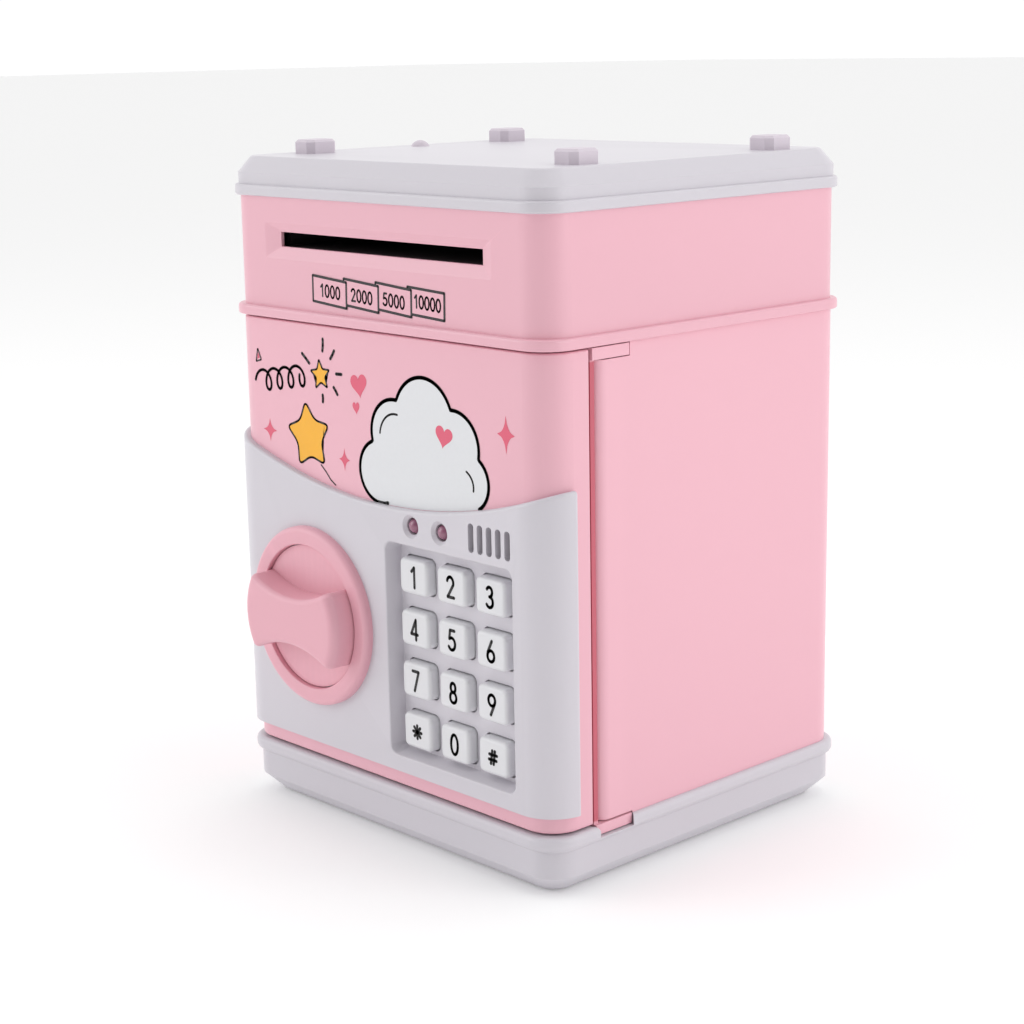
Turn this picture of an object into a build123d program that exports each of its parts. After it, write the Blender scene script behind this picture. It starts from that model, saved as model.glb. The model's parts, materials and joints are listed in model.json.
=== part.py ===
from build123d import *
import math
import os

# Toy safe coin bank.  All sizes in millimetres.
# Frame: origin on the resting plane under the middle of the overall box,
# +X to the right seen from the front, -Y is the front, +Z up.

# ---------------------------------------------------------------- main sizes
rim_hx, rim_hy = 66.15, 60.27        # base bead rim, half width and half depth
base_hx, base_hy = 64.78, 58.90      # base wall
base_bot_hx, base_bot_hy = 59.97, 54.09
low_hx, low_hy = 64.54, 58.66        # lower body and door shell
up_hx, up_hy = 64.39, 58.51          # upper body
ledge_hx, ledge_hy = 65.82, 59.94
lid_fl_hx, lid_fl_hy = 65.48, 59.60
lid_hx, lid_hy = 64.50, 58.70
lid_top_inset = 3.3
corner_r = 9.0
wall = 2.2

foot_h = 0.6                         # feet stand this far below the base
z_chamfer = 5.5
z_rim0, z_rim1 = 12.85, 17.20
z_floor0, z_floor1 = 20.2, 22.2
z_ledge0, z_ledge1 = 144.06, 147.05
z_up1 = 177.75
z_flange1 = 180.90
z_lidwall1 = 184.10
z_lid1 = 188.50
pad_h = 3.9
pad_x, pad_y = 52.5, 37.7
pad_w, pad_d = 8.6, 10.4
pad_shift = 1.1

# door
door_back = -44.1                    # rear edge of the door shell
cover_y0, cover_y1 = -43.1, -41.6    # inner cover plate
door_z0, door_z1 = 17.75, 143.50
cover_z0, cover_z1 = 17.95, 143.30
panel_t = 2.0
panel_z0 = 22.6
panel_end_y = -49.7
panel_curve_z, panel_curve_x, panel_curve_a = 97.0, 2.0, 0.0029

# hinge
hx, hy = 60.6, -36.4
pin_r = 1.25
ear_r = 8.0
ear_x = 64.95
notch_r = 8.35
ear_bot0, ear_bot1 = 14.6, 17.4
ear_top0, ear_top1 = 140.6, 143.7
col_z0, col_z1 = 17.75, 140.25
col_front = -41.2
col_round = 3.5

# keypad
kp_x0, kp_x1, kp_z0, kp_z1 = 2.8, 52.7, 27.2, 87.6
kp_depth, kp_slope = 4.8, 1.2
key_w, key_h = 11.3, 9.8
key_gap = 0.4
key_cx, key_px = 27.4, 15.15
key_z_top, key_pz = 78.5, 14.57
key_face_y = -(low_hy + panel_t) + 1.7
key_travel = 1.2

# lamps, vents
led_x, led_z, led_r = (13.75, 25.25), 93.0, 2.1
vent_x0, vent_pitch, vent_n, vent_w, vent_l, vent_z = 37.6, 3.42, 5, 2.1, 7.8, 93.75

# knob
kx, kz = -29.3, 60.5
ring_ro, ring_ri, ring_h = 25.9, 20.8, 2.6
knob_r = 20.5
knob_disc_y = -61.9
knob_front_y = -70.4
shaft_r = 4.0
waist, scoop_r = 6.9, 35.0

# note slot and feeder
slot_x0, slot_x1 = -41.9, 40.9
slot_z, slot_h = 166.05, 4.1
fr_x0, fr_x1, fr_z0, fr_z1 = -47.6, 45.2, 160.6, 170.6
roll_y = -21.0
drive_r, pinch_r = 4.5, 3.5
nip = 0.2
drive_z = slot_z - nip - drive_r
pinch_z = slot_z + nip + pinch_r
gear_m, pinion_n, gear_n = 0.7, 10, 32
gear_cd = gear_m * (pinion_n + gear_n) / 2 + 0.10
motor_z = 157.0
motor_y = roll_y + math.sqrt(gear_cd ** 2 - (drive_z - motor_z) ** 2)

# batteries
cell_r, cell_l = 7.1, 50.0
cell_z = 10.4
box_ix, box_iy = 29.4, 23.2

# everything is drawn about the middle of the body and written out shifted
# along Y, so the origin falls under the middle of the overall box
frame_shift_y = (-knob_front_y - rim_hy) / 2

os.makedirs("parts", exist_ok=True)


# ---------------------------------------------------------------- helpers
def block(x0, x1, y0, y1, z0, z1):
    return Pos((x0 + x1) / 2, (y0 + y1) / 2, (z0 + z1) / 2) * Box(x1 - x0, y1 - y0, z1 - z0)


def slab(half_x, half_y, r, z0, z1):
    return Pos(0, 0, z0) * extrude(RectangleRounded(2 * half_x, 2 * half_y, r), z1 - z0)


def frustum(hx0, hy0, r0, z0, hx1, hy1, r1, z1):
    lower = Pos(0, 0, z0) * RectangleRounded(2 * hx0, 2 * hy0, r0)
    upper = Pos(0, 0, z1) * RectangleRounded(2 * hx1, 2 * hy1, r1)
    return loft([lower, upper])


def rod_z(x, y, r, z0, z1):
    return Pos(x, y, (z0 + z1) / 2) * Cylinder(r, z1 - z0)


def rod_y(x, z, r, y0, y1):
    return Pos(x, (y0 + y1) / 2, z) * (Rot(90, 0, 0) * Cylinder(r, y1 - y0))


def rod_x(y, z, r, x0, x1):
    return Pos((x0 + x1) / 2, y, z) * (Rot(0, 90, 0) * Cylinder(r, x1 - x0))


# a sketch drawn as seen from the front (x right, z up), extruded along Y
def front(sketch, y0, y1):
    return Pos(0, y0, 0) * extrude(Plane(origin=(0, 0, 0), x_dir=(1, 0, 0), z_dir=(0, -1, 0)) * sketch, -(y1 - y0))


def soften(shape, edges, radii):
    for r in radii:
        try:
            result = fillet(edges, r)
            if result.volume > 0 and result.is_valid:
                return result
        except Exception:
            pass
    return shape


def bevel(shape, edges, sizes):
    for r in sizes:
        try:
            result = chamfer(edges, r)
            if result.volume > 0 and result.is_valid:
                return result
        except Exception:
            pass
    return shape


def save(name, shape):
    shape = Pos(0, frame_shift_y, 0) * shape
    solids = shape.solids()
    out = solids[0] if len(solids) == 1 else Compound(children=list(solids))
    out.label = name
    export_step(out, "parts/" + name + ".step")
    print(name, len(solids), round(sum(s.volume for s in solids), 1))


# pan-head screw pointing along +Z from the head, cross recess in the head
def screw(head_r, head_h, body_r, length):
    head = Pos(0, 0, -head_h / 2) * Cylinder(head_r, head_h)
    head = soften(head, head.edges().group_by(Axis.Z)[0], (head_h * 0.45, 0.3))
    thread = Pos(0, 0, length / 2) * Cylinder(body_r, length)
    tip = Pos(0, 0, length + 0.6) * Cone(body_r, body_r * 0.25, 1.2)
    body = head + thread + tip
    for i in range(int((length - 1.0) / 1.2)):
        groove = Pos(0, 0, 0.9 + i * 1.2) * (Cylinder(body_r + 0.2, 0.35) - Cylinder(body_r - 0.22, 0.35))
        body = body - groove
    rec = Box(head_r * 1.15, 0.55, head_h * 0.6) + Box(0.55, head_r * 1.15, head_h * 0.6)
    return body - Pos(0, 0, -head_h + head_h * 0.28) * rec


# involute spur gear blank lying in the XY plane, thickness along Z
def gear(module, teeth, thickness, bore, backlash):
    rp = module * teeth / 2
    rb = rp * math.cos(math.radians(20))
    ra = rp + 0.90 * module
    rf = rp - 1.20 * module
    half = math.pi / (2 * teeth) - backlash / (2 * rp)
    inv_p = math.tan(math.radians(20)) - math.radians(20)
    pts = []
    for k in range(teeth):
        c = 2 * math.pi * k / teeth
        flank = []
        r_start = max(rb, rf)
        for i in range(6):
            r = r_start + (ra - r_start) * i / 5
            a = math.acos(min(1.0, rb / r))
            flank.append((r, half + inv_p - (math.tan(a) - a)))
        left = [(rf, flank[0][1])] if rf < rb else []
        left += flank
        for r, t in left:
            pts.append((r * math.cos(c - t), r * math.sin(c - t)))
        for r, t in reversed(left):
            pts.append((r * math.cos(c + t), r * math.sin(c + t)))
    body = extrude(make_face(Polyline(*pts, close=True)), thickness)
    return body - Pos(0, 0, thickness / 2) * Cylinder(bore, thickness * 2)


# ---------------------------------------------------------------- base
base = frustum(base_bot_hx, base_bot_hy, 5.5, foot_h, base_hx, base_hy, corner_r - 0.8, z_chamfer)
base += slab(base_hx, base_hy, corner_r - 0.8, z_chamfer, z_rim0 + 1)
rim = slab(rim_hx, rim_hy, corner_r, z_rim0, z_rim1)
rim = soften(rim, rim.edges().group_by(Axis.Z)[-1], (1.5, 1.0))
rim = soften(rim, rim.edges().group_by(Axis.Z)[0], (2.0, 1.5, 1.0))
base += rim
hollow = frustum(base_bot_hx - 3.2, base_bot_hy - 3.2, 3.0, foot_h - 0.01, base_hx - wall - 0.6, base_hy - wall - 0.6, 5.5, z_chamfer + 0.3)
hollow += slab(base_hx - wall, base_hy - wall, corner_r - 0.8 - wall, z_chamfer + 0.3, z_rim1 - 2.0)
base -= hollow
# hole in the deck for the battery box, and bosses for the plate screws
base -= block(-31.7, 31.7, -25.6, 25.6, z_rim1 - 3, z_rim1 + 1)
base_screw_xy = [(sx * 49.0, sy * 43.0) for sx in (-1, 1) for sy in (-1, 1)]
for x, y in base_screw_xy:
    base += rod_z(x, y, 3.6, 3.3, z_rim1 - 1.0) - rod_z(x, y, 1.25, 2.0, 13.0)
# pocket that lets the lower hinge ear swing, with a floor under it
base += rod_z(hx, hy, notch_r + 1.6, 11.6, z_rim1 - 0.4) & slab(base_hx - 0.3, base_hy - 0.3, corner_r - 1.1, 11.6, z_rim1 - 0.4)
base -= rod_z(hx, hy, notch_r, 14.25, z_rim1 + 2)
save("base", base)

# ---------------------------------------------------------------- base plate with battery box
plate = slab(base_bot_hx - 3.55, base_bot_hy - 3.55, 2.8, foot_h, 3.0)
tray = block(-box_ix - 1.8, box_ix + 1.8, -box_iy - 1.8, box_iy + 1.8, 2.9, 19.4)
tray = soften(tray, tray.edges().filter_by(Axis.Z), (1.5,))
plate += tray
plate -= block(-box_ix, box_ix, -box_iy, box_iy, 2.0, 17.9)
plate -= block(-box_ix - 0.9, box_ix + 0.9, -box_iy - 0.9, box_iy + 0.9, foot_h - 1, 2.9)
plate -= block(box_ix - 1, box_ix + 9.3, -6.3, 6.3, foot_h - 1, 2.05)
# low ribs between the cells
for y in (-7.65, 7.65):
    plate += block(-box_ix, box_ix, y - 0.5, y + 0.5, 15.0, 18.0) - rod_x(y - 7.65, cell_z, cell_r + 0.3, -40, 40) - rod_x(y + 7.65, cell_z, cell_r + 0.3, -40, 40)
plate += rod_z(box_ix + 5.0, 0, 3.2, 2.9, 9.0)
plate -= rod_z(box_ix + 5.0, 0, 1.2, 1.0, 8.0)
for x, y in base_screw_xy:
    plate -= rod_z(x, y, 1.7, 0, 4)
    plate -= rod_z(x, y, 3.1, 0, 2.0)
foot_xy = [(sx * 49.0, sy * 30.0) for sx in (-1, 1) for sy in (-1, 1)]
for x, y in foot_xy:
    plate -= rod_z(x, y, 5.0, 0, 1.6)
# vent-like grip ribs on the underside
for i in range(5):
    plate -= block(-22 + i * 11 - 3, -22 + i * 11 + 3, -44.2, -43.2, foot_h - 0.2, foot_h + 0.5)
save("base_plate", plate)

foot_list = []
for x, y in foot_xy:
    f = rod_z(x, y, 5.0, 0.0, 1.6)
    foot_list.append(bevel(f, f.edges().group_by(Axis.Z)[0], (0.35,)))
save("base_feet", Compound(children=foot_list))

base_screws = Compound(children=[Pos(x, y, 2.0) * screw(2.9, 1.2, 1.25, 8.5) for x, y in base_screw_xy])
save("base_screws", base_screws)

# battery cover with its finger ribs and screw tab
cover = block(-box_ix - 0.6, box_ix + 0.6, -box_iy - 0.6, box_iy + 0.6, foot_h + 0.2, 2.6)
cover += block(box_ix - 1, box_ix + 9.0, -6.0, 6.0, foot_h + 0.2, 1.75)
cover = soften(cover, cover.edges().filter_by(Axis.Z), (1.0, 0.5))
for i in range(7):
    cover -= block(-24 + i * 1.8, -23.2 + i * 1.8, -9, 9, foot_h, foot_h + 0.6)
cover -= rod_z(box_ix + 5.0, 0, 1.5, 0, 3)
cover -= rod_z(box_ix + 5.0, 0, 2.6, 0, 1.15)
save("battery_cover", cover)
save("cover_screw", Pos(box_ix + 5.0, 0, 1.15) * screw(2.4, 0.5, 1.14, 4.6))

cells = []
for i, y in enumerate((-15.3, 0.0, 15.3)):
    s = 1 if i % 2 == 0 else -1
    c = rod_x(y, cell_z, cell_r, -cell_l / 2, cell_l / 2 - 1.4)
    c = soften(c, c.edges(), (0.5,))
    c += rod_x(y, cell_z, 2.7, cell_l / 2 - 1.5, cell_l / 2)
    cells.append(Pos(0, y, cell_z) * Rot(0, 0, 0 if s > 0 else 180) * Pos(0, -y, -cell_z) * c)
save("batteries", Compound(children=cells))

contacts = []
for i, y in enumerate((-15.3, 0.0, 15.3)):
    s = 1 if i % 2 == 0 else -1
    for side in (-1, 1):
        xw = side * (box_ix - 0.25)
        tab = block(xw - 0.25, xw + 0.25, y - 5, y + 5, 4.5, 16.3)
        if side == -s:
            # bowed leaf against the flat end of the cell
            face = side * (box_ix - 0.5)
            rise, chord = 3.4, 9.0
            bow_r = (chord ** 2 / 4 + rise ** 2) / (2 * rise)
            cx = face - side * (rise - bow_r)
            leaf = rod_z(cx, y, bow_r, cell_z - 3, cell_z + 3) - rod_z(cx, y, bow_r - 0.4, cell_z - 4, cell_z + 4)
            x_in, x_out = face + side * 0.1, face - side * 6
            leaf = leaf & block(min(x_in, x_out), max(x_in, x_out), y - 6, y + 6, 0, 20)
            tab += leaf
        contacts.append(tab)
save("battery_contacts", Compound(children=contacts))

# ---------------------------------------------------------------- lower body
low = slab(low_hx, low_hy, corner_r, z_rim1, z_ledge0)
low -= slab(low_hx - wall, low_hy - wall, corner_r - wall, z_rim1 - 1, z_ledge0 + 1)
low = low & block(-80, 80, -43.7, 80, 0, 200)
# the right wall stops at the hinge column
low -= block(40, 80, -60, col_front + col_round + 0.6, 0, 200)
floor = slab(low_hx - 1.0, low_hy - 1.0, corner_r - 1.0, z_floor0, z_floor1) & block(-80, 80, -41.0, 80, 0, 200)
floor -= block(57, 80, -60, -31, 0, 200)
low += floor
# skirt ribs that carry the floor on the base deck
for x in (-50, 50):
    low += block(x - 1, x + 1, -38 if x < 0 else -24, 57, z_rim1, z_floor0 + 0.5)
low += block(-62.5, 54.0, -41.0, -39.4, z_rim1, z_floor0 + 0.5)
# hinge column
column = block(56.6, low_hx, col_front, -30.0, z_rim1, z_ledge0)
column = soften(column, column.edges().filter_by(Axis.Z).sort_by(lambda e: -(e.center().X - e.center().Y))[:1], (col_round,))
low += column
low -= rod_z(hx, hy, notch_r, z_rim1 - 1, col_z0)
low -= rod_z(hx, hy, notch_r, col_z1, z_ledge0 + 1)
low -= rod_z(hx, hy, pin_r, 0, 25.0)
low -= rod_z(hx, hy, pin_r, 132.0, 160)
# catch rib for the latch arm
catch = block(-62.6, -57.6, -41.3, -39.5, 44, 77)
catch = soften(catch, catch.edges().filter_by(Axis.Y).group_by(Axis.X)[-1], (1.5,))
low += catch
low += block(-62.6, -61.0, -41.3, -36.0, 44, 45.4) + block(-62.6, -61.0, -41.3, -36.0, 75.6, 77)
# small stiffening beads on the back wall
for x in (-30, 0, 30):
    low += block(x - 0.7, x + 0.7, low_hy - wall - 0.8, low_hy - 1, 26, 140)
save("lower_body", low)

pins = Compound(children=[
    rod_z(hx, hy, pin_r, ear_bot0 + 0.2, 25.0),
    rod_z(hx, hy, pin_r, 132.0, ear_top1 - 0.2),
])
save("hinge_pins", pins)

# ---------------------------------------------------------------- upper body
up = slab(up_hx, up_hy, corner_r, z_ledge1 - 1, z_up1)
led = slab(ledge_hx, ledge_hy, corner_r, z_ledge0, z_ledge1)
led = soften(led, led.edges().group_by(Axis.Z)[-1], (0.9, 0.6))
led = soften(led, led.edges().group_by(Axis.Z)[0], (0.5, 0.3))
up += led
up -= slab(up_hx - wall, up_hy - wall, corner_r - wall, z_ledge0 + 2.0, z_up1 + 1)
up -= block(-46, 46, 6, 46, 140, 150)
# sunk frame round the note slot
outer = Plane(origin=((fr_x0 + fr_x1) / 2, -up_hy - 0.01, (fr_z0 + fr_z1) / 2), x_dir=(1, 0, 0), z_dir=(0, -1, 0)) * RectangleRounded(fr_x1 - fr_x0, fr_z1 - fr_z0, 0.8)
inner = Plane(origin=((slot_x0 + slot_x1) / 2, -up_hy + 1.2, slot_z), x_dir=(1, 0, 0), z_dir=(0, -1, 0)) * RectangleRounded(slot_x1 - slot_x0 + 0.7, slot_h + 0.7, 0.3)
up -= loft([outer, inner])
up -= block(slot_x0, slot_x1, -up_hy - 2, -up_hy + wall + 2, slot_z - slot_h / 2, slot_z + slot_h / 2)
for sx in (-1, 1):
    for sy in (-1, 1):
        up += rod_z(sx * pad_x, sy * pad_y, 4.0, z_ledge0 + 1, z_up1 - 0.6) - rod_z(sx * pad_x, sy * pad_y, 1.35, 150, 190)
        up += block(min(sx * pad_x, sx * (up_hx - 1)), max(sx * pad_x, sx * (up_hx - 1)), sy * pad_y - 0.8, sy * pad_y + 0.8, z_ledge0 + 1, z_up1 - 4) - rod_z(sx * pad_x, sy * pad_y, 1.35, 150, 190)
# standoffs for the main board
for x in (-34, 34):
    for z in (152.5, 170.5):
        up += rod_y(x, z, 2.2, 54.6, up_hy - 1)
save("upper_body", up)

# ---------------------------------------------------------------- lid
lid = slab(lid_fl_hx, lid_fl_hy, corner_r, z_up1, z_flange1)
lid = soften(lid, lid.edges().group_by(Axis.Z)[-1], (0.8, 0.5))
lid = soften(lid, lid.edges().group_by(Axis.Z)[0], (0.6, 0.4))
crown = slab(lid_hx, lid_hy, corner_r - 0.6, z_flange1 - 1, z_lidwall1)
crown += frustum(lid_hx, lid_hy, corner_r - 0.6, z_lidwall1, lid_hx - lid_top_inset, lid_hy - lid_top_inset, corner_r - 2.6, z_lid1)
crown = soften(crown, crown.edges().group_by(Axis.Z)[-1], (0.9, 0.6, 0.3))
lid += crown
lid -= slab(lid_hx - wall - 0.2, lid_hy - wall - 0.2, corner_r - 3.0, z_up1 - 1, z_lidwall1 - 0.8)
lid -= frustum(lid_hx - wall - 0.2, lid_hy - wall - 0.2, corner_r - 3.0, z_lidwall1 - 0.8, lid_hx - lid_top_inset - wall, lid_hy - lid_top_inset - wall, corner_r - 4.6, z_lid1 - 2.2)
# locating lip inside the upper body
lip = slab(up_hx - wall - 0.25, up_hy - wall - 0.25, corner_r - wall - 0.2, z_up1 - 2.2, z_up1 + 0.8)
lip -= slab(up_hx - wall - 1.85, up_hy - wall - 1.85, corner_r - wall - 1.7, z_up1 - 3, z_up1 + 2)
ring_seat = slab(lid_fl_hx - 0.6, lid_fl_hy - 0.6, corner_r - 0.6, z_up1, z_up1 + 1.2) - slab(up_hx - wall - 1.85, up_hy - wall - 1.85, corner_r - wall - 1.7, z_up1 - 3, z_up1 + 2)
lid += lip + ring_seat
for sx in (-1, 1):
    for sy in (-1, 1):
        x, y = sx * pad_x, sy * pad_y
        lid += rod_z(x, y, 4.4, z_up1 - 0.6, z_lid1 - 1)
        lid -= rod_z(x, y, 2.6, z_up1 + 3.2, z_lid1 + 1)
        lid -= rod_z(x, y, 1.6, z_up1 - 1, z_lid1)
lid -= rod_z(-52.4, 4.0, 1.5, z_lid1 - 4, z_lid1 + 1)
save("top_lid", lid)

pads = []
for sx in (-1, 1):
    for sy in (-1, 1):
        x, y = sx * pad_x, sy * pad_y
        px, qy = x + pad_shift, y + pad_shift
        p = block(px - pad_w / 2, px + pad_w / 2, qy - pad_d / 2, qy + pad_d / 2, z_lid1, z_lid1 + pad_h)
        p = bevel(p, p.edges().filter_by(Axis.Z), (1.8, 0.8))
        p = bevel(p, p.edges().group_by(Axis.Z)[-1], (0.7, 0.5))
        p += rod_z(x, y, 2.55, z_lid1 - 4.2, z_lid1 + 0.5)
        pads.append(p)
save("lid_pads", Compound(children=pads))

nub = Pos(-52.4, 4.0, z_lid1 - 1.3) * Sphere(3.1) & block(-60, -40, -5, 12, z_lid1, z_lid1 + 5)
nub += rod_z(-52.4, 4.0, 1.48, z_lid1 - 2.6, z_lid1 + 0.5)
save("lid_nub", nub)

lid_screws = []
for sx in (-1, 1):
    for sy in (-1, 1):
        lid_screws.append(Pos(sx * pad_x, sy * pad_y, z_up1 + 3.2) * Rot(180, 0, 0) * screw(2.5, 1.4, 1.35, 14.0))
save("lid_screws", Compound(children=lid_screws))

# ---------------------------------------------------------------- note feeder
side_x = 44.5
frame = block(-side_x - 1.5, side_x + 1.5, -52, -14, z_ledge0 + 2.0, z_ledge0 + 3.4)
for s in (-1, 1):
    x0, x1 = (side_x, side_x + 1.5) if s > 0 else (-side_x - 1.5, -side_x)
    cheek = block(x0, x1, -52, 5, z_ledge0 + 2.0, 175.0)
    cheek = soften(cheek, cheek.edges().filter_by(Axis.X).group_by(Axis.Z)[-1], (6.0, 3.0))
    frame += cheek
frame += block(-side_x, side_x, -55.4, -27.0, slot_z - 3.4, slot_z - 2.2)
frame += block(-side_x, side_x, -55.4, -27.0, slot_z + 2.2, slot_z + 3.4)
# flared lead-in lips
frame += block(-side_x, side_x, -55.4, -54.2, slot_z - 4.6, slot_z - 2.2)
frame += block(-side_x, side_x, -55.4, -54.2, slot_z + 2.2, slot_z + 4.6)
frame += block(20, 41, motor_y - 8.0, motor_y + 8.0, z_ledge0 + 2.0, motor_z - 7.5)
frame += block(40.8, side_x + 0.5, motor_y - 9.8, motor_y + 9.8, z_ledge0 + 2.0, motor_z - 7.5)
frame -= rod_x(roll_y, drive_z, 1.56, -60, 60)
frame -= rod_x(roll_y, pinch_z, 1.31, -60, 60)
frame -= rod_x(motor_y, motor_z, 4.0, 40, 60)
frame -= rod_x(motor_y, motor_z, 4.0, 43.0, 44.6)
save("feeder_frame", frame)

motor = rod_x(motor_y, motor_z, 10.0, 18.0, 42.6) & block(0, 60, motor_y - 20, motor_y + 20, motor_z - 7.5, motor_z + 7.5)
motor = soften(motor, motor.edges().group_by(Axis.X)[0], (1.0, 0.5))
motor += rod_x(motor_y, motor_z, 3.0, 42.0, 44.2) + rod_x(motor_y, motor_z, 4.2, 16.6, 18.5)
motor -= rod_x(motor_y, motor_z, 1.06, 36.0, 46.0)
motor += block(15.4, 18.5, motor_y + 5.2, motor_y + 5.6, motor_z - 1.2, motor_z + 1.2)
motor += block(15.4, 18.5, motor_y - 5.6, motor_y - 5.2, motor_z - 1.2, motor_z + 1.2)
save("feeder_motor", motor)

# pinion and gear: teeth turn about X.  The pinion is set half a pitch on so the pair meshes.
mesh_dir = math.degrees(math.atan2(motor_z - drive_z, motor_y - roll_y))
gx0, gt = 46.5, 3.0
to_x = Plane(origin=(0, 0, 0), x_dir=(0, 1, 0), z_dir=(1, 0, 0))
big = gear(gear_m, gear_n, gt, 1.5, 0.10)
big -= Pos(0, 0, gt) * (Cylinder(8.6, 1.6) - Cylinder(3.6, 1.6))
big = Rot(0, 0, mesh_dir) * big
drive_gear = Pos(gx0, roll_y, drive_z) * (to_x * big)
small = gear(gear_m, pinion_n, gt, 1.0, 0.10)
small = Rot(0, 0, mesh_dir + 180 + 180.0 / pinion_n) * small
motor_pinion = Pos(gx0, motor_y, motor_z) * (to_x * small)
motor_pinion += rod_x(motor_y, motor_z, 1.0, 37.0, gx0 + gt)
save("drive_gear", drive_gear)
save("motor_pinion", motor_pinion)

shaft = rod_x(roll_y, drive_z, 1.5, -48.6, 50.4)
shaft = bevel(shaft, shaft.edges(), (0.3,))
save("drive_shaft", shaft)
tyre_x = [(-30, -20), (5, 15)]
tyres = []
for x0, x1 in tyre_x:
    t = rod_x(roll_y, drive_z, drive_r, x0, x1)
    t = soften(t, t.edges(), (0.6,))
    for i in range(1, 5):
        xx = x0 + 2 * i
        t -= rod_x(roll_y, drive_z, drive_r + 1, xx - 0.25, xx + 0.25) - rod_x(roll_y, drive_z, drive_r - 0.4, xx - 0.25, xx + 0.25)
    tyres.append(t - rod_x(roll_y, drive_z, 1.5, x0 - 1, x1 + 1))
save("drive_tyres", Compound(children=tyres))
pinch = rod_x(roll_y, pinch_z, 1.25, -47.6, 46.2)
for x0, x1 in tyre_x:
    w = rod_x(roll_y, pinch_z, pinch_r, x0, x1)
    pinch += soften(w, w.edges(), (0.5,))
save("pinch_roller", pinch)

# main board on the rear wall of the upper body
board = block(-40, 40, 53.0, 54.6, 149.0, 174.0)
for x in (-34, 34):
    for z in (152.5, 170.5):
        board -= rod_y(x, z, 1.1, 50, 60)
board += block(-12, 3, 51.2, 53.0, 156, 171)
board += block(10, 20, 51.6, 53.0, 158, 166)
board += rod_y(-24, 163, 3.2, 45.5, 53.0) + rod_y(-24, 154.5, 2.4, 47.5, 53.0)
board += block(22, 32, 46.5, 53.0, 150.5, 155.5)
for i in range(6):
    board += block(8 + i * 2.4, 9.4 + i * 2.4, 52.2, 53.0, 169.5, 171.5)
save("main_board", board)

# ---------------------------------------------------------------- door shell
shell = slab(low_hx, low_hy, corner_r, door_z0, door_z1)
shell = soften(shell, shell.edges().group_by(Axis.Z)[-1], (0.6, 0.4))
shell = soften(shell, shell.edges().group_by(Axis.Z)[0], (0.6, 0.4))
shell -= slab(low_hx - wall, low_hy - wall, corner_r - wall, door_z0 + 2.0, door_z1 - 2.0)
shell = shell & block(-80, 80, -80, door_back, 0, 200)
shell -= block(kp_x0 - 1.4, kp_x1 + 1.4, -70, -50, kp_z0 - 1.4, kp_z1 + 1.4)
shell -= rod_y(kx, kz, 5.0, -70, -50)
for x in led_x:
    shell -= rod_y(x, led_z, 2.9, -70, -50)
vent_c = vent_x0 + vent_pitch * (vent_n - 1) / 2
shell -= block(vent_c - 9.4, vent_c + 9.4, -70, -50, vent_z - 4.6, vent_z + 5.0)
door_screw_xz = [(-57.4, 27.0), (58.2, 27.0), (-57.4, 133.0), (58.2, 133.0)]
for x, z in door_screw_xz:
    post = rod_y(x, z, 3.2, -low_hy + 1.5, cover_y0) & slab(low_hx - 0.6, low_hy - 0.6, corner_r - 0.6, 0, 200)
    shell += post - rod_y(x, z, 1.2, -54, -40)
save("door_shell", shell)

# ---------------------------------------------------------------- door panel
panel = slab(low_hx + panel_t, low_hy + panel_t, corner_r + panel_t, panel_z0, 118)
panel -= slab(low_hx, low_hy, corner_r, panel_z0 - 1, 120)
panel = panel & block(-80, 80, -80, panel_end_y, 0, 200)
curve = [(x, panel_curve_z + panel_curve_a * (x - panel_curve_x) ** 2) for x in (-70, -60, -48, -36, -24, -12, 0, 12, 24, 36, 48, 60, 70)]
top_edge = Spline(*curve)
above = make_face([top_edge, Polyline((70, curve[-1][1]), (70, 130), (-70, 130), (-70, curve[0][1]))])
panel -= front(above, -75, -40)
# round the free ends and the top edge on the outer skin
outer_top = [e for e in panel.edges() if e.center().Z > 95 and e.length > 60]
outer_top = sorted(outer_top, key=lambda e: e.center().Y)[:1]
panel = soften(panel, outer_top, (0.8, 0.5, 0.3))
end_edges = [e for e in panel.edges().filter_by(Axis.Z) if abs(abs(e.center().X) - (low_hx + panel_t)) < 0.2 and abs(e.center().Y - panel_end_y) < 0.3]
panel = soften(panel, end_edges, (1.2, 0.8, 0.4))
py = -(low_hy + panel_t)
# sunk keypad box
kcx, kcz = (kp_x0 + kp_x1) / 2, (kp_z0 + kp_z1) / 2
kw, kh = kp_x1 - kp_x0, kp_z1 - kp_z0
panel += block(kp_x0 - 1.2, kp_x1 + 1.2, py + 1.0, py + kp_depth + 1.2, kp_z0 - 1.2, kp_z1 + 1.2)
kp_outer = Plane(origin=(kcx, py - 0.01, kcz), x_dir=(1, 0, 0), z_dir=(0, -1, 0)) * RectangleRounded(kw, kh, 2.6)
kp_inner = Plane(origin=(kcx, py + kp_depth, kcz), x_dir=(1, 0, 0), z_dir=(0, -1, 0)) * RectangleRounded(kw - 2 * kp_slope, kh - 2 * kp_slope, 1.6)
panel -= loft([kp_outer, kp_inner])
rim_edges = [e for e in panel.edges() if abs(e.center().Y - py) < 0.05 and kp_x0 - 0.2 <= e.center().X <= kp_x1 + 0.2 and kp_z0 - 0.2 <= e.center().Z <= kp_z1 + 0.2]
panel = soften(panel, rim_edges, (0.5, 0.3))
names = ["1", "2", "3", "4", "5", "6", "7", "8", "9", "star", "0", "hash"]
key_pos = {}
for i, n in enumerate(names):
    col, row = i % 3, i // 3
    key_pos[n] = (key_cx + (col - 1) * key_px, key_z_top - row * key_pz)
floor_y = py + kp_depth
for n, (x, z) in key_pos.items():
    panel -= front(Pos(x, z) * RectangleRounded(key_w + 2 * key_gap, key_h + 2 * key_gap, 1.9), floor_y - 1, floor_y + 3)
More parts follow.
